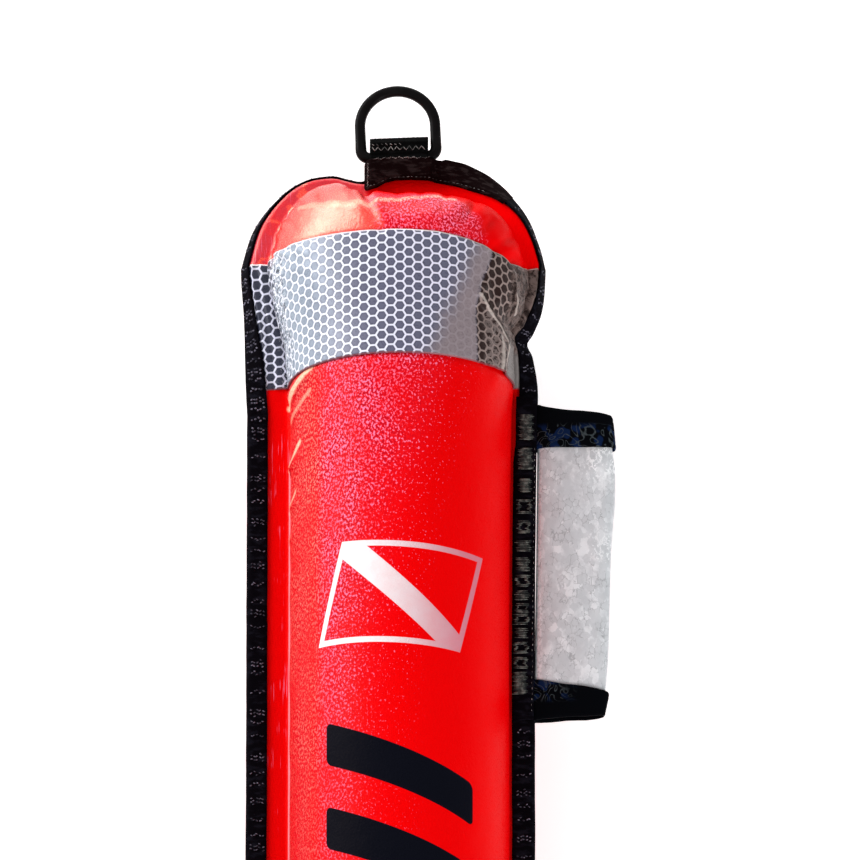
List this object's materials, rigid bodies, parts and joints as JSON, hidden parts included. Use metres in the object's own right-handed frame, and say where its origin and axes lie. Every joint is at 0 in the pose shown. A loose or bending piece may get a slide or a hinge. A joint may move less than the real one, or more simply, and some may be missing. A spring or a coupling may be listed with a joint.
{
  "type": "surface marker buoy",
  "caption": "Inflatable tube-shaped surface marker buoy for divers, with bound welded edges, reflective band, swinging end rings, light sleeve, oral inflator and relief valve.",
  "frame": {"origin": "middle of the flat strip that the inflated back rests on", "axes": "+Y along the buoy towards the head with the reflective band, +Z out of the printed front, +X towards the edge with the light sleeve"},
  "size_m": [0.1517, 1.2022, 0.1228],
  "materials": {
    "coated_red": "satin coated nylon",
    "reflective": "glossy honeycomb reflective film on tape",
    "tape_black": "woven matte",
    "ring_black": "satin",
    "frosted_vinyl": "frosted soft vinyl",
    "valve_black": "satin",
    "valve_grey": "satin",
    "seal_rubber": "matte",
    "spring_steel": "bright drawn wire"
  },
  "bodies": {
    "bladder": {"front_panel": "coated_red", "back_panel": "coated_red", "reflective_band_front": "reflective", "reflective_band_back": "reflective", "edge_binding": "tape_black", "head_tab": "tape_black", "head_cover_front": "tape_black", "head_cover_back": "tape_black", "foot_tab": "tape_black", "foot_cover_front": "tape_black", "foot_cover_back": "tape_black", "light_sleeve": "frosted_vinyl", "sleeve_upper_cuff": "tape_black", "sleeve_lower_cuff": "tape_black", "sleeve_strip": "tape_black", "inflator_flange": "coated_red", "inflator_barrel": "valve_black", "inflator_spring": "spring_steel", "relief_flange": "coated_red", "relief_base": "valve_black", "relief_cap": "valve_black", "relief_spring": "spring_steel"},
    "head_ring": {"head_ring": "ring_black"},
    "foot_ring": {"foot_ring": "ring_black"},
    "mouthpiece": {"inflator_mouthpiece": "valve_black", "inflator_stem": "valve_grey", "inflator_seal": "seal_rubber"},
    "lock_ring": {"inflator_lock_ring": "valve_grey"},
    "relief_pull": {"relief_disc": "valve_grey", "relief_knob": "valve_grey", "relief_seal": "seal_rubber"}
  },
  "joints": [
    {"name": "head_ring_hinge", "type": "hinge", "parent": "bladder", "child": "head_ring", "pos_m": [-0.0005, 0.5716, 0.0422], "axis": [1, 0, 0], "range_deg": [-90, 90]},
    {"name": "foot_ring_hinge", "type": "hinge", "parent": "bladder", "child": "foot_ring", "pos_m": [0, -0.5716, 0.0422], "axis": [1, 0, 0], "range_deg": [-90, 90]},
    {"name": "mouthpiece_push", "type": "slide", "parent": "bladder", "child": "mouthpiece", "axis": [0, 0, -1], "range_m": [0, 0.005], "stiffness_N_per_m": 400, "springref_m": -0.003, "deforming": ["inflator_spring"]},
    {"name": "lock_ring_turn", "type": "hinge", "parent": "bladder", "child": "lock_ring", "pos_m": [0, -0.478, 0.094], "axis": [0, 0, 1], "range_deg": [0, 270]},
    {"name": "relief_pull_slide", "type": "slide", "parent": "bladder", "child": "relief_pull", "axis": [0, 0, 1], "range_m": [0, 0.0025], "stiffness_N_per_m": 500, "springref_m": -0.003, "deforming": ["relief_spring"]}
  ]
}
